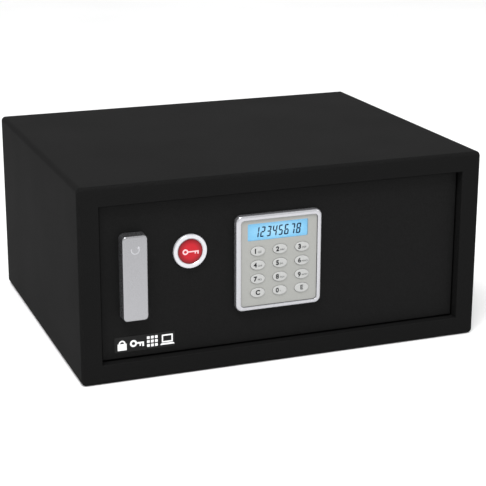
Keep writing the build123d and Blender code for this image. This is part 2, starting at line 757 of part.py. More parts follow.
# The cap that hides the keyhole: a bevelled ring with a skirt, and a domed disc in it.
with BuildPart() as cap_ring:
    skirt_radius = plug_radius + 2.2
    disc_rim_y = face_y - cap_proud + emblem_depth
    disc_seat_y = disc_rim_y + emblem_sheet
    rod_y(cap_radius, lock_x, (face_y - cap_proud, face_y), lock_z)
    fillet(cap_ring.faces().sort_by(Axis.Y)[0].edges(), cap_edge_radius)
    rod_y(emblem_radius, lock_x, (face_y - cap_proud - 1, disc_seat_y), lock_z, Mode.SUBTRACT)
    chamfer(cap_ring.faces().sort_by(Axis.Y)[0].inner_wires()[0].edges(), cap_inner_bevel)
    rod_y(skirt_radius, lock_x, (face_y, face_y + 3.4), lock_z)
    rod_y(skirt_radius - 1.5, lock_x, (face_y - 0.6, face_y + 4.0), lock_z, Mode.SUBTRACT)
cap_ring.part.label = "cap_ring"
export_step(cap_ring.part, "parts/cap_ring.step")

with BuildPart() as cap_emblem:
    dome_radius = (emblem_radius**2 + emblem_dome**2) / (2 * emblem_dome)
    with BuildSketch(Plane(origin=(lock_x, disc_rim_y, lock_z))):
        with BuildLine():
            RadiusArc((emblem_radius, 0), (0, -emblem_dome), dome_radius)
            Polyline(
                (0, -emblem_dome),
                (0, emblem_sheet),
                (emblem_radius, emblem_sheet),
                (emblem_radius, 0),
            )
        make_face()
    revolve(axis=Axis((lock_x, disc_rim_y, lock_z), (0, 1, 0)))
cap_emblem.part.label = "cap_emblem"
export_step(cap_emblem.part, "parts/cap_emblem.step")

# ---------------------------------------------------------------- keypad

# Moulded surround with a ledge that the panel sits on.
with BuildPart() as keypad_bezel:
    ledge = 2.0
    with BuildSketch(facing(face_y, keypad_x, keypad_z)):
        RectangleRounded(bezel_width, bezel_height, bezel_corner_radius)
    extrude(amount=bezel_proud)
    fillet(keypad_bezel.faces().sort_by(Axis.Y)[0].edges(), bezel_edge_radius)
    with BuildSketch(facing(panel_back_y, panel_x, panel_z)):
        RectangleRounded(
            panel_width + 2 * panel_gap,
            panel_height + 2 * panel_gap,
            panel_corner_radius + panel_gap,
        )
    extrude(amount=panel_sheet + panel_sink, mode=Mode.SUBTRACT)
    fillet(keypad_bezel.faces().sort_by(Axis.Y)[0].inner_wires()[0].edges(), bezel_inner_radius)
    with BuildSketch(facing(face_y, panel_x, panel_z)):
        Rectangle(panel_width - 2 * ledge, panel_height - 2 * ledge)
    extrude(amount=bezel_proud, mode=Mode.SUBTRACT)
    for x, z in keypad_screws_at:
        rod_y(screw_radius, x, (face_y - 4.0, face_y + 1), z, Mode.SUBTRACT)
keypad_bezel.part.label = "keypad_bezel"
export_step(keypad_bezel.part, "parts/keypad_bezel.step")

key_columns = [keypad_x + key_column_shift + step * key_pitch_x for step in (-1, 0, 1)]
key_rows = [keypad_z + key_rows_top - step * key_pitch_z for step in range(4)]

# Front panel with twelve oval holes and the display's window.
with BuildPart() as keypad_panel:
    with BuildSketch(facing(panel_back_y, panel_x, panel_z)):
        RectangleRounded(panel_width, panel_height, panel_corner_radius)
    extrude(amount=panel_sheet)
    with BuildSketch(facing(panel_back_y + 1, window_x, window_z)):
        RectangleRounded(window_width + 0.2, window_height + 0.2, 1.5)
    extrude(amount=panel_sheet + 2, mode=Mode.SUBTRACT)
    with BuildSketch(facing(panel_back_y + 1, 0, 0)):
        with Locations([(x, z) for x in key_columns for z in key_rows]):
            Ellipse(key_width / 2 + key_clearance, key_height / 2 + key_clearance)
    extrude(amount=panel_sheet + 2, mode=Mode.SUBTRACT)
keypad_panel.part.label = "keypad_panel"
export_step(keypad_panel.part, "parts/keypad_panel.step")

# Clear window over the display.
with BuildPart() as display_window:
    with BuildSketch(facing(panel_back_y, window_x, window_z)):
        RectangleRounded(window_width, window_height, 1.5)
    extrude(amount=panel_sheet - 0.2)
    chamfer(display_window.faces().sort_by(Axis.Y)[0].edges(), 0.3)
display_window.part.label = "display_window"
export_step(display_window.part, "parts/display_window.step")

with BuildPart() as display_module:
    module_y = (panel_back_y + 0.1, face_y - keypad_board_sheet)
    module_x = (window_x - window_width / 2 - 2.0, window_x + window_width / 2 + 2.0)
    module_z = (window_z - window_height / 2 - 0.8, window_z + window_height / 2 + 0.8)
    block(module_x, module_y, module_z)
    fillet(display_module.edges().filter_by(Axis.Y), 0.8)
display_module.part.label = "display_module"
export_step(display_module.part, "parts/display_module.step")

with BuildPart() as keypad_board:
    with BuildSketch(facing(face_y, panel_x, panel_z)):
        Rectangle(panel_width - 2 * ledge - 0.6, panel_height - 2 * ledge - 0.6)
    extrude(amount=keypad_board_sheet)
keypad_board.part.label = "keypad_board"
export_step(keypad_board.part, "parts/keypad_board.step")

# Oval key caps: a flange behind the panel, and a low crown in front of it.
key_names = ("1", "4", "7", "c", "2", "5", "8", "0", "3", "6", "9", "e")
key_places = [(x, z) for x in key_columns for z in key_rows]
for key_name, (x, z) in zip(key_names, key_places):
    with BuildPart() as key:
        flange_front_y = panel_back_y + 0.3
        key_back_y = flange_front_y + 0.8
        key_front_y = panel_front_y - key_proud
        with BuildSketch(facing(key_back_y, x, z)):
            Ellipse(key_width / 2 + key_flange, key_height / 2 + key_flange)
        extrude(amount=key_back_y - flange_front_y)
        with BuildSketch(facing(key_back_y, x, z)):
            Ellipse(key_width / 2, key_height / 2)
        extrude(amount=key_back_y - key_front_y)
        fillet(key.faces().sort_by(Axis.Y)[0].edges(), 0.5)
    key.part.label = f"key_{key_name}"
    export_step(key.part, f"parts/key_{key_name}.step")

# Flat cable from the keypad through the door to the control board.
with BuildPart() as ribbon_cable:
    cable_x = (keypad_x - cable_width / 2, keypad_x + cable_width / 2)
    block(cable_x, (face_y, board_front_y), (cable_z - cable_sheet / 2, cable_z + cable_sheet / 2))
ribbon_cable.part.label = "ribbon_cable"
export_step(ribbon_cable.part, "parts/ribbon_cable.step")

# ---------------------------------------------------------------- behind the door

# Turned posts: four carry the cover, four carry the control board.
with BuildPart() as standoffs:
    for x, z in cover_screws_at:
        rod_y(standoff_radius, x, (rear_y, cover_back_y - cover_sheet), z)
        hole_span = (cover_back_y - cover_sheet - screw_length + 1.0, cover_back_y)
        rod_y(screw_radius, x, hole_span, z, Mode.SUBTRACT)
    for x, z in board_posts_at:
        rod_y(standoff_radius - 1.0, x, (rear_y, board_front_y), z)
        hole_span = (board_front_y - screw_length + 1.0, board_front_y + 1)
        rod_y(screw_radius, x, hole_span, z, Mode.SUBTRACT)
standoffs.part.label = "standoffs"
export_step(standoffs.part, "parts/standoffs.step")

# Control board with its chips, sounder, capacitor and connectors.
with BuildPart() as control_board:
    with BuildSketch(facing(board_back_y, board_x, board_z)):
        Rectangle(board_width, board_height)
        with Locations([(x - board_x, z - board_z) for x, z in board_posts_at]):
            Circle(screw_radius, mode=Mode.SUBTRACT)
    extrude(amount=board_sheet)
    plug_centre = board_width / 2 - 6.5
    # across and up from the board's middle, then width, height and depth
    chips = (
        (-12.0, 8.0, 14.0, 14.0, 2.2),
        (16.0, 22.0, 9.0, 6.0, 1.8),
        (16.0, 8.0, 9.0, 6.0, 1.8),
        (-plug_centre, -14.0, 6.0, 12.0, 5.0),
        (plug_centre, 4.0, 6.0, 12.0, 5.0),
    )
    for across, up, wide, high, deep in chips:
        chip_x = (board_x + across - wide / 2, board_x + across + wide / 2)
        chip_z = (board_z + up - high / 2, board_z + up + high / 2)
        block(chip_x, (board_back_y, board_back_y + deep), chip_z)
    rod_y(6.0, board_x - 12.0, (board_back_y, board_back_y + 5.0), board_z - 20.0)
    rod_y(3.2, board_x + 4.0, (board_back_y, board_back_y + 8.0), board_z - 32.0)
    switch_x = (button_x - 3.0, button_x + 3.0)
    block(switch_x, (board_back_y, board_back_y + 3.5), (button_z - 3.0, button_z + 3.0))
control_board.part.label = "control_board"
export_step(control_board.part, "parts/control_board.step")

# Folded cover over the whole mechanism.
with BuildPart() as rear_cover:
    cover_centre = facing(cover_back_y, cover_mid_x, (cover_low + cover_high) / 2)
    cover_width = cover_right - cover_left
    cover_height = cover_high - cover_low
    with BuildSketch(cover_centre):
        RectangleRounded(cover_width, cover_height, cover_corner_radius)
    extrude(amount=cover_depth)
    fillet(rear_cover.faces().sort_by(Axis.Y)[-1].edges(), cover_corner_radius - 1.0)
    with BuildSketch(cover_centre.offset(cover_sheet)):
        inner_corner = cover_corner_radius - cover_sheet
        RectangleRounded(cover_width - 2 * cover_sheet, cover_height - 2 * cover_sheet, inner_corner)
    extrude(amount=cover_depth, mode=Mode.SUBTRACT)
    for height in bolt_heights:
        hole_span = (cover_left - 1, cover_left + cover_sheet + 1)
        rod_x(bolt_radius + bolt_hole_clearance, hole_span, bolt_y, height, Mode.SUBTRACT)
    through = (cover_back_y - cover_sheet - 1, cover_back_y + 1)
    for x, z in cover_screws_at:
        rod_y(screw_radius, x, through, z, Mode.SUBTRACT)
    rod_y(button_radius + 0.4, button_x, through, button_z, Mode.SUBTRACT)
    lid_x = (tray_left + 1.0, tray_right - 1.0)
    lid_z = (mid_z - tray_half_height + 1.0, mid_z + tray_half_height - 1.0)
    block(lid_x, through, lid_z, Mode.SUBTRACT)
rear_cover.part.label = "rear_cover"
export_step(rear_cover.part, "parts/rear_cover.step")

# Eight like screws: four hold the keypad from behind, four hold the cover.
with BuildPart() as screws:
    heads = [(x, rear_y, z) for x, z in keypad_screws_at]
    heads += [(x, cover_back_y, z) for x, z in cover_screws_at]
    for x, seat_y, z in heads:
        rod_y(screw_radius, x, (seat_y - screw_length, seat_y), z)
        rod_y(screw_head_radius, x, (seat_y, seat_y + screw_head_height), z)
        block((x - 0.4, x + 0.4), (seat_y + 1.2, seat_y + 3.0), (z - 1.8, z + 1.8), Mode.SUBTRACT)
        block((x - 1.8, x + 1.8), (seat_y + 1.2, seat_y + 3.0), (z - 0.4, z + 0.4), Mode.SUBTRACT)
screws.part.label = "screws"
export_step(screws.part, "parts/screws.step")

# Open tray for four cells side by side, with dividers.
with BuildPart() as battery_tray:
    tray_z = (mid_z - tray_half_height, mid_z + tray_half_height)
    block((tray_left, tray_right), (tray_front_y, tray_back_y), tray_z)
    inner_x = (tray_left + tray_wall, tray_right - tray_wall)
    inner_z = (tray_z[0] + tray_wall, tray_z[1] - tray_wall)
    block(inner_x, (tray_front_y + tray_wall, tray_back_y + 1), inner_z, Mode.SUBTRACT)
    for side in (-1, 1):
        foot_z = mid_z + side * (tray_half_height - 6.0)
        rod_y(4.0, tray_mid_x, (rear_y, tray_front_y), foot_z)
battery_tray.part.label = "battery_tray"
export_step(battery_tray.part, "parts/battery_tray.step")

cell_heights = [mid_z + (step - 1.5) * cell_pitch for step in range(4)]

# Four cells, each with a raised positive end, laid head to tail.
with BuildPart() as batteries:
    for index, height in enumerate(cell_heights):
        low = tray_mid_x - cell_length / 2
        high = tray_mid_x + cell_length / 2
        end = high if index % 2 == 0 else low
        nub = sorted((end, end + (1.0 if index % 2 == 0 else -1.0)))
        rod_x(cell_radius, (low, high), cell_y, height)
        rod_x(2.7, nub, cell_y, height)
batteries.part.label = "batteries"
export_step(batteries.part, "parts/batteries.step")

# Sprung plates at both ends of the cells: a flat leaf with a pressed boss that meets the cell.
with BuildPart() as battery_contacts:
    for index, height in enumerate(cell_heights):
        for side in (-1, 1):
            wall_x = tray_mid_x + side * (cell_length / 2 + contact_room)
            leaf = sorted((wall_x, wall_x - side * 0.5))
            positive = (side == 1) == (index % 2 == 0)
            reach = cell_length / 2 + (1.0 if positive else 0.0)
            boss = sorted((wall_x, tray_mid_x + side * reach))
            leaf_z = (height - 5.0, height + 5.0)
            block(leaf, (cell_y - 5.0, cell_y + 5.0), leaf_z)
            rod_x(2.2 if positive else 3.2, boss, cell_y, height)
battery_contacts.part.label = "battery_contacts"
export_step(battery_contacts.part, "parts/battery_contacts.step")

# Leads clipped inside the cover: cells to board, and solenoid to board.
plug_reach = board_width / 2 - 3.5
battery_route = [
    (tray_left, tray_front_y + 6.0, mid_z - 14.0),
    (tray_left - 8.0, tray_front_y + 6.0, mid_z - 14.0),
    (board_x + plug_reach + 7.0, board_back_y + 3.0, board_z + 4.0),
    (board_x + plug_reach, board_back_y + 3.0, board_z + 4.0),
]
solenoid_route = [
    (lock_x + coil_radius - 1.1, plunger_y, coil_low + 8.0),
    (lock_x + coil_radius + 9.0, plunger_y, coil_low + 8.0),
    (board_x - plug_reach - 12.0, board_back_y + 3.0, board_z - 14.0),
    (board_x - plug_reach, board_back_y + 3.0, board_z - 14.0),
]
with BuildPart() as inner_leads:
    for route in (battery_route, solenoid_route):
        bends = lead_radii(route)
        with BuildLine() as path:
            FilletPolyline(*route, radius=bends)
        with BuildSketch(Plane(origin=path.line @ 0, z_dir=path.line % 0)):
            Circle(lead_radius)
        sweep(path=path.line)
inner_leads.part.label = "inner_leads"
export_step(inner_leads.part, "parts/inner_leads.step")

# Lift-off battery lid with a finger notch and two tongues.
with BuildPart() as battery_lid:
    lid_gap = 0.4
    lid_span_x = (lid_x[0] + lid_gap, lid_x[1] - lid_gap)
    lid_span_z = (lid_z[0] + lid_gap, lid_z[1] - lid_gap)
    block(lid_span_x, (tray_back_y, cover_back_y), lid_span_z)
    fillet(battery_lid.edges().filter_by(Axis.Y), 1.5)
    with Locations((lid_span_x[0] + 8.0, cover_back_y, mid_z)):
        Sphere(5.0, mode=Mode.SUBTRACT)
    for height in (mid_z - 20.0, mid_z + 20.0):
        tongue_x = (tray_right - tray_wall - 1.5, tray_right - tray_wall - 0.4)
        block(tongue_x, (tray_back_y - 3.0, tray_back_y), (height - 4.0, height + 4.0))
battery_lid.part.label = "battery_lid"
export_step(battery_lid.part, "parts/battery_lid.step")

# Code button: a long plunger from the cover to the switch on the board.
with BuildPart() as code_button:
    rod_y(button_radius, button_x, (board_back_y + 3.5 + button_travel + 0.2, cover_back_y + 0.6), button_z)
    collar_y = (cover_back_y - cover_sheet - 1.5, cover_back_y - cover_sheet - 0.3)
    rod_y(button_radius + 1.6, button_x, collar_y, button_z)
    fillet(code_button.faces().sort_by(Axis.Y)[-1].edges(), 0.5)
code_button.part.label = "code_button"
export_step(code_button.part, "parts/code_button.step")

# Small plate at the lower left of the door's face.
with BuildPart() as nameplate:
    with BuildSketch(facing(face_y, door_left + plate_from_edge, door_low + plate_above_edge)):
        RectangleRounded(plate_width, plate_height, 1.5)
    extrude(amount=plate_sheet)
nameplate.part.label = "nameplate"
export_step(nameplate.part, "parts/nameplate.step")
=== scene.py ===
import json
import math

import bmesh
import bpy
from mathutils import Matrix, Vector


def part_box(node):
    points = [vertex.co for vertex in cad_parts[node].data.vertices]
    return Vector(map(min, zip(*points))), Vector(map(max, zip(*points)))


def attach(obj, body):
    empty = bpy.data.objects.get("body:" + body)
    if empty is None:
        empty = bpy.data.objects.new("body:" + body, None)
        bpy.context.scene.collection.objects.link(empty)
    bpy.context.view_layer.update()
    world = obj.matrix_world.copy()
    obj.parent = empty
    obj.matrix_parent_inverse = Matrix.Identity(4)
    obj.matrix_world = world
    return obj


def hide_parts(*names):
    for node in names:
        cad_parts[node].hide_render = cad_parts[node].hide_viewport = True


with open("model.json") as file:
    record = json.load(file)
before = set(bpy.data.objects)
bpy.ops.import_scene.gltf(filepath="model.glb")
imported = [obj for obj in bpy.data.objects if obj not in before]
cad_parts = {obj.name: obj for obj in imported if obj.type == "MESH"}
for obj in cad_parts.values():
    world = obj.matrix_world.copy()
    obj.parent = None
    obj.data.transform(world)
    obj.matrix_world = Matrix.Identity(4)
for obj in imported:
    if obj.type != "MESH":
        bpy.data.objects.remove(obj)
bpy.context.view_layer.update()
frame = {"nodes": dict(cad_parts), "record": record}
MM = 0.001

# ---------------------------------------------------------------- camera and light

VIEW_AZIMUTH = -20.4      # degrees, from the front towards the left
VIEW_ELEVATION = 16.4
VIEW_DISTANCE = 1.586
LENS = 105.97
SHIFT = (0.029, -0.045)


def toward(azimuth, elevation):
    """Unit vector from the object towards a viewer; azimuth 0 is straight in front."""
    a, e = math.radians(azimuth), math.radians(elevation)
    return Vector((math.sin(a) * math.cos(e), -math.cos(a) * math.cos(e), math.sin(e)))


def aimed(obj, place, target):
    """Puts a camera or light at a place, looking at the target."""
    obj.location = place
    obj.rotation_euler = (target - place).to_track_quat("-Z", "Y").to_euler()
    bpy.context.scene.collection.objects.link(obj)


def make_camera(target):
    data = bpy.data.cameras.new("camera")
    data.lens = LENS
    data.sensor_width = 36.0
    data.shift_x, data.shift_y = SHIFT
    camera = bpy.data.objects.new("camera", data)
    aimed(camera, target + toward(VIEW_AZIMUTH, VIEW_ELEVATION) * VIEW_DISTANCE, target)
    bpy.context.scene.camera = camera


def soft_light(name, azimuth, elevation, distance, size, watts, target):
    data = bpy.data.lights.new(name, "AREA")
    data.shape = "RECTANGLE"
    data.size, data.size_y = size
    data.energy = watts
    light = bpy.data.objects.new(name, data)
    aimed(light, target + toward(azimuth, elevation) * distance, target)


def make_studio(target):
    world = bpy.data.worlds.new("studio")
    world.use_nodes = True
    sky = world.node_tree.nodes["Background"]
    sky.inputs["Color"].default_value = (1.0, 1.0, 1.0, 1)
    sky.inputs["Strength"].default_value = 1.02
    bpy.context.scene.world = world
    bpy.context.scene.view_settings.view_transform = "Standard"
    soft_light("key_light", -35, 58, 2.2, (1.0, 0.7), 42, target)
    soft_light("fill_light", 50, 30, 2.6, (1.4, 1.4), 8, target)


# ---------------------------------------------------------------- material kit

def new_material(name):
    mat = bpy.data.materials.new(name)
    mat.use_nodes = True
    return mat, mat.node_tree, mat.node_tree.nodes["Principled BSDF"]


def node(tree, kind, **inputs):
    made = tree.nodes.new(kind)
    for key, value in inputs.items():
        made.inputs[key.replace("_", " ")].default_value = value
    return made


def object_noise(tree, scale, detail=2.0, stretch=(1, 1, 1)):
    """Noise in the object's own metres."""
    place = tree.nodes.new("ShaderNodeTexCoord")
    squash = node(tree, "ShaderNodeMapping", Scale=stretch)
    noise = node(tree, "ShaderNodeTexNoise", Scale=scale, Detail=detail)
    tree.links.new(place.outputs["Object"], squash.inputs["Vector"])
    tree.links.new(squash.outputs["Vector"], noise.inputs["Vector"])
    return noise.outputs["Fac"]


def vary(tree, fac, low, high, target, span=(0.3, 0.7)):
    """Maps a texture onto a socket between two values."""
    ramp = node(tree, "ShaderNodeMapRange")
    ramp.inputs["From Min"].default_value, ramp.inputs["From Max"].default_value = span
    ramp.inputs["To Min"].default_value, ramp.inputs["To Max"].default_value = low, high
    tree.links.new(fac, ramp.inputs["Value"])
    tree.links.new(ramp.outputs["Result"], target)


def tint(tree, fac, dark, light, target, span=(0.3, 0.7)):
    """Mixes two colours by a texture."""
    ramp = tree.nodes.new("ShaderNodeValToRGB")
    ramp.color_ramp.elements[0].position, ramp.color_ramp.elements[1].position = span
    ramp.color_ramp.elements[0].color = (*dark, 1)
    ramp.color_ramp.elements[1].color = (*light, 1)
    tree.links.new(fac, ramp.inputs["Fac"])
    tree.links.new(ramp.outputs["Color"], target)


def bumped(tree, shader, fac, height_mm, strength=1.0):
    bump = node(tree, "ShaderNodeBump", Strength=strength, Distance=height_mm * MM)
    tree.links.new(fac, bump.inputs["Height"])
    tree.links.new(bump.outputs["Normal"], shader.inputs["Normal"])


def surface(name, dark, light, rough, grain, bump_mm=0.0, metal=0.0, specular=0.5, stretch=(1, 1, 1)):
    """A finish with a fine grain in its colour, gloss and height."""
    mat, tree, shader = new_material(name)
    fac = object_noise(tree, grain, 3.0, stretch)
    tint(tree, fac, dark, light, shader.inputs["Base Color"])
    vary(tree, fac, rough - 0.05, rough + 0.05, shader.inputs["Roughness"])
    if bump_mm:
        bumped(tree, shader, fac, bump_mm)
    shader.inputs["Metallic"].default_value = metal
    shader.inputs["Specular IOR Level"].default_value = specular
    return mat


def powder_coat(name, dark, light, specular):
    """Fine textured powder: a pebbled skin, with broad faint mottling under it."""
    mat, tree, shader = new_material(name)
    pebbles = object_noise(tree, 1100.0, 2.0)
    mottle = object_noise(tree, 14.0, 4.0)
    tint(tree, pebbles, dark, light, shader.inputs["Base Color"], (0.35, 0.75))
    vary(tree, mottle, 0.56, 0.6, shader.inputs["Roughness"])
    bumped(tree, shader, pebbles, 0.12, 0.6)
    shader.inputs["Specular IOR Level"].default_value = specular
    return mat


def felt(name):
    mat, tree, shader = new_material(name)
    fibres = object_noise(tree, 1600.0, 4.0, (1, 0.35, 1))
    tint(tree, fibres, (0.018, 0.018, 0.02), (0.06, 0.06, 0.066), shader.inputs["Base Color"])
    bumped(tree, shader, fibres, 0.5)
    shader.inputs["Roughness"].default_value = 0.95
    shader.inputs["Sheen Weight"].default_value = 0.5
    shader.inputs["Specular IOR Level"].default_value = 0.1
    return mat


def clear_window(name):
    mat, tree, shader = new_material(name)
    dust = object_noise(tree, 300.0)
    vary(tree, dust, 0.04, 0.10, shader.inputs["Roughness"])
    shader.inputs["Base Color"].default_value = (0.05, 0.06, 0.07, 1)
    shader.inputs["Alpha"].default_value = 0.06
    return mat


def from_middle(tree, low, high):
    """Distance from the middle of a box seen from the front: 1 at the middle of each side."""
    place = tree.nodes.new("ShaderNodeTexCoord")
    middle = [(a + b) / 2 for a, b in zip(low, high)]
    half = [(b - a) / 2 for a, b in zip(low, high)]
    centred = node(tree, "ShaderNodeMapping", Location=[-m / h for m, h in zip(middle, half)])
    centred.inputs["Scale"].default_value = [1 / half[0], 0.0, 1 / half[2]]
    centred.inputs["Location"].default_value[1] = 0.0
    far = node(tree, "ShaderNodeVectorMath")
    far.operation = "LENGTH"
    tree.links.new(place.outputs["Object"], centred.inputs["Vector"])
    tree.links.new(centred.outputs["Vector"], far.inputs[0])
    return far.outputs["Value"]


def enamel_with_painted_rim_shade(name, low, high):
    """Red under a clear dome, with painted shade that darkens it towards the rim."""
    mat, tree, shader = new_material(name)
    far = from_middle(tree, low, high)
    # painted shade: the red runs from bright in the middle to dark at the rim
    tint(tree, far, (0.40, 0.004, 0.012), (0.13, 0.001, 0.004), shader.inputs["Base Color"], (0.55, 1.0))
    scratches = object_noise(tree, 900.0)
    vary(tree, scratches, 0.10, 0.16, shader.inputs["Roughness"])
    shader.inputs["Specular IOR Level"].default_value = 0.25
    return mat


def graded(mat, axis, low, high, at_low, at_high):
    """Multiplies a finish's colour by a value that runs along one of the object's axes."""
    tree = mat.node_tree
    socket = tree.nodes["Principled BSDF"].inputs["Base Color"]
    colour = socket.links[0].from_socket
    place = tree.nodes.new("ShaderNodeTexCoord")
    split = tree.nodes.new("ShaderNodeSeparateXYZ")
    ramp = node(tree, "ShaderNodeMapRange")
    ramp.inputs["From Min"].default_value, ramp.inputs["From Max"].default_value = low, high
    ramp.inputs["To Min"].default_value, ramp.inputs["To Max"].default_value = at_low, at_high
    gain = node(tree, "ShaderNodeVectorMath")
    gain.operation = "SCALE"
    tree.links.new(place.outputs["Object"], split.inputs["Vector"])
    tree.links.new(split.outputs[axis], ramp.inputs["Value"])
    tree.links.new(colour, gain.inputs["Vector"])
    tree.links.new(ramp.outputs["Result"], gain.inputs["Scale"])
    tree.links.new(gain.outputs["Vector"], socket)


def lit_display(name, low, high):
    """Backlit cell: bright in the middle, a little deeper towards its ends."""
    mat, tree, shader = new_material(name)
    far = from_middle(tree, low, high)
    tint(tree, far, (0.48, 0.76, 0.95), (0.24, 0.54, 0.84), shader.inputs["Emission Color"], (0.2, 1.3))
    shader.inputs["Base Color"].default_value = (0.05, 0.2, 0.3, 1)
    shader.inputs["Emission Strength"].default_value = 0.72
    shader.inputs["Roughness"].default_value = 0.4
    return mat


def cell_sleeve(name, low, high, count):
    """Shrink sleeve: dark, with a copper band at each cell's positive end."""
    mat, tree, shader = new_material(name)
    place = tree.nodes.new("ShaderNodeTexCoord")
    split = tree.nodes.new("ShaderNodeSeparateXYZ")
    tree.links.new(place.outputs["Object"], split.inputs["Vector"])
    row = node(tree, "ShaderNodeMapRange")
    row.inputs["From Min"].default_value, row.inputs["From Max"].default_value = low.z, high.z
    row.inputs["To Max"].default_value = float(count)
    tree.links.new(split.outputs["Z"], row.inputs["Value"])
    whole = tree.nodes.new("ShaderNodeMath")
    whole.operation = "FLOOR"
    tree.links.new(row.outputs["Result"], whole.inputs[0])
    odd = tree.nodes.new("ShaderNodeMath")
    odd.operation = "MODULO"
    odd.inputs[1].default_value = 2.0
    tree.links.new(whole.outputs[0], odd.inputs[0])
    along = node(tree, "ShaderNodeMapRange")
    along.inputs["From Min"].default_value, along.inputs["From Max"].default_value = low.x, high.x
    tree.links.new(split.outputs["X"], along.inputs["Value"])
    turned = tree.nodes.new("ShaderNodeMath")
    turned.operation = "SUBTRACT"
    tree.links.new(along.outputs["Result"], turned.inputs[0])
    tree.links.new(odd.outputs[0], turned.inputs[1])
    size = tree.nodes.new("ShaderNodeMath")
    size.operation = "ABSOLUTE"
    tree.links.new(turned.outputs[0], size.inputs[0])
    sleeve, copper = (0.012, 0.012, 0.014), (0.45, 0.2, 0.07)
    tint(tree, size.outputs[0], sleeve, copper, shader.inputs["Base Color"], (0.70, 0.705))
    wrinkle = object_noise(tree, 220.0)
    vary(tree, wrinkle, 0.18, 0.32, shader.inputs["Roughness"])
    return mat


def circuit_board(name):
    """Green solder mask over traces that run along and across the board."""
    mat, tree, shader = new_material(name)
    place = tree.nodes.new("ShaderNodeTexCoord")
    cells = node(tree, "ShaderNodeTexVoronoi", Scale=260.0)
    cells.distance = "CHEBYCHEV"
    tree.links.new(place.outputs["Object"], cells.inputs["Vector"])
    mask, trace = (0.01, 0.11, 0.045), (0.02, 0.2, 0.08)
    tint(tree, cells.outputs["Distance"], mask, trace, shader.inputs["Base Color"], (0.4, 0.48))
    bumped(tree, shader, cells.outputs["Distance"], 0.05)
    shader.inputs["Roughness"].default_value = 0.35
    return mat


BRUSHED = (1, 1, 12)
ALONG_RIBBON = (1, 0.02, 0.02)
TAPE_WINDING = (0.1, 0.1, 8)

# Plain finishes: dark, light, roughness, grain, then any of bump_mm, metal, specular and stretch.
FINISHES = {
    "zinc_steel": ((0.36, 0.36, 0.33), (0.55, 0.54, 0.48), 0.38, 90.0, 0.01, 1.0),
    "bolt_chrome": ((0.6, 0.6, 0.62), (0.72, 0.72, 0.74), 0.16, 400.0, 0.004, 1.0, 0.5, BRUSHED),
    # bush_nylon: black nylon, made darker still as painted shade so the bush collars seen in the door gap
    # read as the gap's shadow
    "bush_nylon": ((0.001, 0.001, 0.001), (0.002, 0.002, 0.002), 0.6, 800.0, 0.02, 0.0, 0.03),
    "bush_bronze": ((0.35, 0.21, 0.08), (0.55, 0.36, 0.15), 0.42, 1500.0, 0.02, 1.0),
    "lever_silver": ((0.275, 0.275, 0.286), (0.32, 0.32, 0.332), 0.27, 1500.0, 0.01, 0.9),
    "bezel_silver": ((0.41, 0.41, 0.432), (0.47, 0.47, 0.493), 0.2, 1400.0, 0.008, 0.8),
    "panel_grey": ((0.255, 0.258, 0.243), (0.29, 0.292, 0.278), 0.45, 1400.0, 0.012),
    "key_grey": ((0.345, 0.348, 0.342), (0.39, 0.393, 0.386), 0.38, 1400.0, 0.008),
    "ribbon_grey": ((0.2, 0.2, 0.21), (0.45, 0.45, 0.46), 0.5, 700.0, 0.1, 0.0, 0.5, ALONG_RIBBON),
    "coil_tape": ((0.42, 0.27, 0.03), (0.62, 0.43, 0.07), 0.35, 120.0, 0.05, 0.0, 0.5, TAPE_WINDING),
    "tray_black": ((0.011, 0.011, 0.012), (0.019, 0.019, 0.02), 0.5, 1300.0, 0.04),
    "lead_red": ((0.34, 0.012, 0.012), (0.46, 0.02, 0.02), 0.42, 500.0, 0.02),
    "contact_nickel": ((0.5, 0.48, 0.43), (0.64, 0.62, 0.56), 0.24, 500.0, 0.006, 1.0),
    "ring_silver": ((0.50, 0.50, 0.525), (0.56, 0.56, 0.585), 0.2, 1300.0, 0.006, 0.3),
    "lock_nickel": ((0.5, 0.49, 0.45), (0.62, 0.61, 0.57), 0.28, 700.0, 0.008, 1.0),
    "plate_black": ((0.004, 0.004, 0.004), (0.008, 0.008, 0.008), 0.5, 500.0, 0.0, 0.0, 0.15),
    "button_red": ((0.42, 0.012, 0.012), (0.5, 0.02, 0.02), 0.25, 300.0),
    "ink_dark": ((0.006, 0.006, 0.007), (0.012, 0.012, 0.014), 0.5, 900.0, 0.0, 0.0, 0.1),
    "ink_rose": ((0.66, 0.42, 0.44), (0.74, 0.5, 0.52), 0.45, 900.0),
    "ink_light": ((0.74, 0.74, 0.74), (0.84, 0.84, 0.84), 0.45, 900.0),
    "lcd_navy": ((0.002, 0.016, 0.05), (0.004, 0.024, 0.07), 0.4, 500.0, 0.0, 0.0, 0.1),
}
CELLS = 4


def make_materials():
    """Every finish, by the name of its slot in the record, and the inks."""
    lever_low, lever_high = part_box("lever")
    mats = {name: surface(name, *finish) for name, finish in FINISHES.items()}
    # painted reflection: the lever's colour is raised towards its foot and lowered towards its top
    graded(mats["lever_silver"], "Z", lever_low.z, lever_high.z, 1.12, 0.96)
    mats["body_black"] = powder_coat("body_black", (0.0055,) * 3, (0.0105,) * 3, 0.008)
    mats["door_black"] = powder_coat("door_black", (0.0035,) * 3, (0.0085,) * 3, 0.06)
    mats["floor_felt"] = felt("floor_felt")
    mats["window_clear"] = clear_window("window_clear")
    mats["display_lit"] = lit_display("display_lit", *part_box("display_window"))
    mats["board_green"] = circuit_board("board_green")
    mats["cell_wrap"] = cell_sleeve("cell_wrap", *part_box("batteries"), CELLS)
    mats["emblem_red"] = enamel_with_painted_rim_shade("emblem_red", *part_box("cap_emblem"))
    return mats


# ---------------------------------------------------------------- small flat details

def from_bmesh(name, bm, mat):
    mesh = bpy.data.meshes.new(name)
    bm.to_mesh(mesh)
    bm.free()
    mesh.materials.append(mat)
    obj = bpy.data.objects.new(name, mesh)
    bpy.context.scene.collection.objects.link(obj)
    return obj


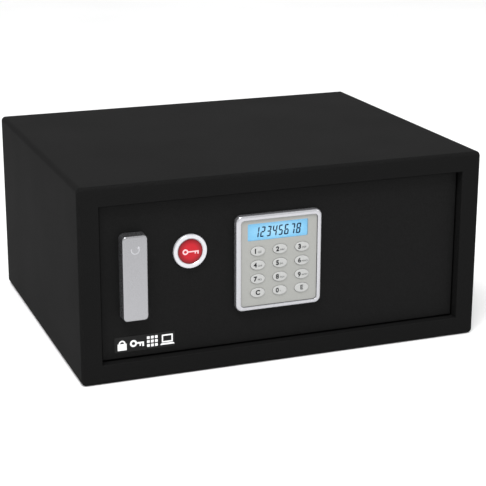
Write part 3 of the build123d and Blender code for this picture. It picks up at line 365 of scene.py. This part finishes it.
def raised(name, outlines, back_y, thick, mat):
    """Flat shapes that face the front: each outline is a list of (x, z), raised from back_y by thick."""
    bm = bmesh.new()
    for outline in outlines:
        face = bm.faces.new([bm.verts.new((x, back_y, z)) for x, z in outline])
        grown = bmesh.ops.extrude_face_region(bm, geom=[face])
        moved = [item for item in grown["geom"] if isinstance(item, bmesh.types.BMVert)]
        bmesh.ops.translate(bm, verts=moved, vec=(0, -thick, 0))
    bmesh.ops.recalc_face_normals(bm, faces=bm.faces)
    return from_bmesh(name, bm, mat)


def arc(centre, radius, start, end, steps):
    """Points (x, z) along an arc, angles in degrees from the right."""
    angles = [math.radians(start + (end - start) * i / steps) for i in range(steps + 1)]
    return [(centre[0] + radius * math.cos(a), centre[1] + radius * math.sin(a)) for a in angles]


def band(centre, inner, outer, start, end, steps=24):
    """Quadrilaterals that fill part of a ring."""
    outside = arc(centre, outer, start, end, steps)
    inside = arc(centre, inner, start, end, steps)
    return [
        [outside[i], outside[i + 1], inside[i + 1], inside[i]]
        for i in range(steps)
    ]


def slab(x0, x1, z0, z1):
    return [(x0, z0), (x1, z0), (x1, z1), (x0, z1)]


def printed(name, text, x, z, size, y, mat, thick=0.04 * MM, bold=0.0, align="CENTER", turn=0.0):
    """Characters that face the front, as a mesh; y is the face that they are printed on."""
    data = bpy.data.curves.new(name, "FONT")
    data.body = text
    data.size = size
    data.extrude = thick / 2
    data.offset = bold
    data.align_x, data.align_y = align, "CENTER"
    source = bpy.data.objects.new(name + "_source", data)
    bpy.context.scene.collection.objects.link(source)
    mesh = bpy.data.meshes.new_from_object(source)
    bpy.data.objects.remove(source)
    upright = Matrix.Rotation(turn, 4, "Y") @ Matrix.Rotation(math.pi / 2, 4, "X")
    mesh.transform(Matrix.Translation((x, y - thick / 2, z)) @ upright)
    mesh.materials.clear()
    mesh.materials.append(mat)
    obj = bpy.data.objects.new(name, mesh)
    bpy.context.scene.collection.objects.link(obj)
    return obj


def fitted(piece, body):
    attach(piece, body)


# ---------------------------------------------------------------- keypad

SEGMENTS = {
    "1": "bc", "2": "abged", "3": "abgcd", "4": "fgbc",
    "5": "afgcd", "6": "afgedc", "7": "abc", "8": "abcdefg",
}


def segment_shapes(digit, left, low, wide, high, stroke, gap, slant):
    """The lit bars of one leaning seven-segment digit."""
    mid = high / 2
    s, g = stroke, gap
    upright = {
        "f": (0, mid + g, high - g), "b": (wide - s, mid + g, high - g),
        "e": (0, g, mid - g), "c": (wide - s, g, mid - g),
    }
    level = {"a": high - s, "g": mid - s / 2, "d": 0}
    shapes = []
    for name in SEGMENTS[digit]:
        if name in upright:
            x, z0, z1 = upright[name]
            outline = [(x, z0 + s / 2), (x + s / 2, z0), (x + s, z0 + s / 2),
                       (x + s, z1 - s / 2), (x + s / 2, z1), (x, z1 - s / 2)]
        else:
            z = level[name]
            x0, x1 = s * 0.45 + g, wide - s * 0.45 - g
            outline = [(x0, z + s / 2), (x0 + s / 2, z), (x1 - s / 2, z),
                       (x1, z + s / 2), (x1 - s / 2, z + s), (x0 + s / 2, z + s)]
        shapes.append([(left + x + slant * z, low + z) for x, z in outline])
    return shapes


def make_display(mats):
    """Eight leaning digits on the lit cell, under the clear window."""
    low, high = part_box("display_window")
    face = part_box("display_module")[0].y
    centre_z = (low.z + high.z) / 2
    pitch, wide, tall, stroke = 6.4 * MM, 4.8 * MM, 10.8 * MM, 1.4 * MM
    gap, slant = 0.12 * MM, 0.14
    first = low.x + 7.0 * MM
    foot = centre_z - 0.6 * MM - tall / 2
    shapes = []
    for index, digit in enumerate(SEGMENTS):
        left = first + index * pitch
        shapes += segment_shapes(digit, left, foot, wide, tall, stroke, gap, slant)
    digits = raised("display_digits", shapes, face, 0.05 * MM, mats["lcd_navy"])
    fitted(digits, "door")


KEY_LETTERS = {
    "1": "QZ", "2": "ABC", "3": "DEF", "4": "GHI", "5": "JKL", "6": "MNO",
    "7": "PRS", "8": "TUV", "9": "WXY", "0": "+", "c": "", "e": "",
}


LABEL_SIZE = 6.7 * MM
LETTERS_SIZE = 2.8 * MM
LABEL_SHIFT = 2.8 * MM
OPEN_STROKE = 0.3 * MM        # how far a glyph's outline is fattened
CLOSED_STROKE = 0.2 * MM      # glyphs with an eye take less, or it closes
E_STROKE = 0.16 * MM


def label_stroke(key):
    if key == "e":
        return E_STROKE
    return CLOSED_STROKE if key in "46890" else OPEN_STROKE


def make_key_labels(mats):
    """A large mark on each key, with small letters beside it. The 9 is a 6 turned half round."""
    for key, letters in KEY_LETTERS.items():
        low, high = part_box(f"key_{key}")
        x, z = (low.x + high.x) / 2, (low.z + high.z) / 2
        shift = LABEL_SHIFT if letters else 0.0
        glyph, turn = ("6", math.pi) if key == "9" else (key.upper(), 0.0)
        mark = printed(
            f"label_{key}", glyph, x - shift, z, LABEL_SIZE, low.y,
            mats["ink_dark"], bold=label_stroke(key), turn=turn,
        )
        fitted(mark, f"key_{key}")
        if letters:
            note = printed(
                f"letters_{key}", letters, x - 0.3 * MM, z - 0.9 * MM, LETTERS_SIZE, low.y,
                mats["ink_dark"], align="LEFT",
            )
            fitted(note, f"key_{key}")


# ---------------------------------------------------------------- marks on lever, cap and plate

def make_lever_mark(mats):
    """Turn arrow cast in the lever's face, over its spindle."""
    low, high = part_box("lever")
    spindle_low, spindle_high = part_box("lever_spindle")
    x = (spindle_low.x + spindle_high.x) / 2
    z = (spindle_low.z + spindle_high.z) / 2
    radius, stroke = 3.9 * MM, 0.9 * MM
    start, end = -200, 20
    head_half, head_long = 1.7 * MM, 2.6 * MM
    shapes = band((x, z), radius - stroke / 2, radius + stroke / 2, start, end)
    turned = math.radians(end)
    tip = Vector((x + radius * math.cos(turned), z + radius * math.sin(turned)))
    along = Vector((-math.sin(turned), math.cos(turned)))
    across = Vector((along.y, -along.x))
    head = [tip + across * head_half, tip + along * head_long, tip - across * head_half]
    shapes.append([tuple(point) for point in head])
    mark = raised("lever_mark", shapes, low.y, 0.2 * MM, mats["bezel_silver"])
    fitted(mark, "lever")


def draped_on_dome(piece, centre, dome_front, dome_height, radius, lift):
    """Lays a flat piece on the shallow dome of the cap."""
    bm = bmesh.new()
    bm.from_mesh(piece.data)
    bmesh.ops.subdivide_edges(bm, edges=bm.edges, cuts=3, use_grid_fill=True)
    back = max(v.co.y for v in bm.verts)
    for v in bm.verts:
        away = math.hypot(v.co.x - centre[0], v.co.z - centre[1])
        skin = dome_front + dome_height * (away / radius) ** 2
        v.co.y = skin - lift if v.co.y < back - lift / 2 else skin + 0.02 * MM
    bm.to_mesh(piece.data)
    bm.free()


def make_cap_mark(mats):
    """A plain rose key on the red disc."""
    low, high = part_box("cap_emblem")
    x, z = (low.x + high.x) / 2, (low.z + high.z) / 2
    bow = (x - 5.4 * MM, z)
    shapes = band(bow, 1.5 * MM, 2.9 * MM, 0, 360, 32)
    shapes.append(slab(x - 2.7 * MM, x + 8.4 * MM, z - 0.6 * MM, z + 0.6 * MM))
    shapes.append(slab(x + 4.2 * MM, x + 5.4 * MM, z - 2.4 * MM, z - 0.6 * MM))
    shapes.append(slab(x + 7.0 * MM, x + 8.4 * MM, z - 2.8 * MM, z - 0.6 * MM))
    mark = raised("cap_mark", shapes, low.y, 0.05 * MM, mats["ink_rose"])
    dome_height, lift = 1.0 * MM, 0.04 * MM
    draped_on_dome(mark, (x, z), low.y, dome_height, (high.x - low.x) / 2, lift)
    fitted(mark, "lock_cap")


PICTOGRAM_UNIT = 1.14 * MM


def block(x, z, x0, x1, z0, z1):
    """A rectangle given in pictogram units about (x, z)."""
    u = PICTOGRAM_UNIT
    return slab(x + x0 * u, x + x1 * u, z + z0 * u, z + z1 * u)


def padlock(x, z):
    u = PICTOGRAM_UNIT
    return [block(x, z, -4.0, 4.0, -5.2, 0.8)] + band((x, z + 0.8 * u), 1.8 * u, 3.1 * u, 0, 180)


def plain_key(x, z):
    u = PICTOGRAM_UNIT
    bits = [
        block(x, z, -0.4, 6.0, -0.8, 0.8),
        block(x, z, 2.0, 3.3, -2.9, -0.8),
        block(x, z, 4.5, 6.0, -3.4, -0.8),
    ]
    return band((x - 3.4 * u, z), 1.5 * u, 3.2 * u, 0, 360, 32) + bits


def number_pad(x, z):
    pitch, half = 3.6, 1.25
    steps = (-pitch, 0.0, pitch)
    return [
        block(x, z, column - half, column + half, row - half, row + half)
        for column in steps
        for row in steps
    ]


def laptop(x, z):
    u = PICTOGRAM_UNIT
    screen = [
        block(x, z, -5.0, 5.0, 3.4, 4.6),
        block(x, z, -5.0, 5.0, -2.6, -1.4),
        block(x, z, -5.0, -3.8, -1.4, 3.4),
        block(x, z, 3.8, 5.0, -1.4, 3.4),
    ]
    base = [(x - 6.6 * u, z - 4.8 * u), (x + 6.6 * u, z - 4.8 * u),
            (x + 5.4 * u, z - 3.2 * u), (x - 5.4 * u, z - 3.2 * u)]
    return screen + [base]


def make_plate_marks(mats):
    """Four plain pictograms in a row on the nameplate."""
    low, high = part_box("nameplate")
    z = (low.z + high.z) / 2
    pictograms = (padlock, plain_key, number_pad, laptop)
    step = (high.x - low.x) / len(pictograms)
    shapes = []
    for index, pictogram in enumerate(pictograms):
        shapes += pictogram(low.x + step * (index + 0.5), z)
    mark = raised("plate_marks", shapes, low.y, 0.05 * MM, mats["ink_light"])
    fitted(mark, "door")


# ---------------------------------------------------------------- felt mat

def make_mat(mats):
    """Needle felt cut to the floor, with rounded edges and two anchor cut-outs."""
    low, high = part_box("floor_mat")
    edge = 0.5 * MM
    data = bpy.data.curves.new("felt_mat", "CURVE")
    data.dimensions = "2D"
    data.fill_mode = "BOTH"
    data.extrude = (high.z - low.z) / 2 - edge
    data.bevel_depth = edge
    data.bevel_resolution = 3
    data.offset = -edge
    border = rounded_corners(low, high, 4.0 * MM)
    anchors = next(m for m in frame["record"]["mounts"] if m["name"] == "floor_anchors")
    half = anchors["dims"]["spacing_x_mm"] * MM / 2
    hole_radius, points = 12.0 * MM, 48
    last = 360 - 360 / points
    holes = [arc((side * half, anchors["pos_m"][1]), hole_radius, 0, last, points - 1) for side in (-1, 1)]
    for outline in (border, *holes):
        spline = data.splines.new("POLY")
        spline.points.add(len(outline) - 1)
        for point, (x, y) in zip(spline.points, outline):
            point.co = (x, y, 0, 1)
        spline.use_cyclic_u = True
    source = bpy.data.objects.new("felt_source", data)
    bpy.context.scene.collection.objects.link(source)
    mesh = bpy.data.meshes.new_from_object(source)
    bpy.data.objects.remove(source)
    mesh.transform(Matrix.Translation((0, 0, (low.z + high.z) / 2)))
    mesh.materials.clear()
    mesh.materials.append(mats["floor_felt"])
    mat = bpy.data.objects.new("felt_mat", mesh)
    bpy.context.scene.collection.objects.link(mat)
    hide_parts("floor_mat")
    fitted(mat, "safe_body")


def rounded_corners(low, high, radius):
    """A rectangle seen from above, with rounded corners."""
    corners = (
        ((high.x - radius, high.y - radius), 0), ((low.x + radius, high.y - radius), 90),
        ((low.x + radius, low.y + radius), 180), ((high.x - radius, low.y + radius), 270),
    )
    points = []
    for centre, start in corners:
        points += arc(centre, radius, start, start + 90, 8)
    return points


# ---------------------------------------------------------------- floor

def make_floor():
    bm = bmesh.new()
    bmesh.ops.create_grid(bm, x_segments=1, y_segments=1, size=6.0)
    white = surface("studio_white", (0.86, 0.86, 0.86), (0.9, 0.9, 0.9), 0.6, 3.0)
    floor = from_bmesh("studio_floor", bm, white)
    floor.location.z = -0.1 * MM


def dress_nodes(mats):
    """Gives every CAD node the finish of its slot in the record."""
    for part in frame["record"]["subparts"]:
        obj = frame["nodes"][part["node"]]
        obj.data.materials.clear()
        obj.data.materials.append(mats[part["material_slot"]])


centre = Vector((0, 0, 0.1))
make_camera(centre)
make_studio(centre)
materials = make_materials()
dress_nodes(materials)
make_display(materials)
make_key_labels(materials)
make_lever_mark(materials)
make_cap_mark(materials)
make_plate_marks(materials)
make_mat(materials)
make_floor()
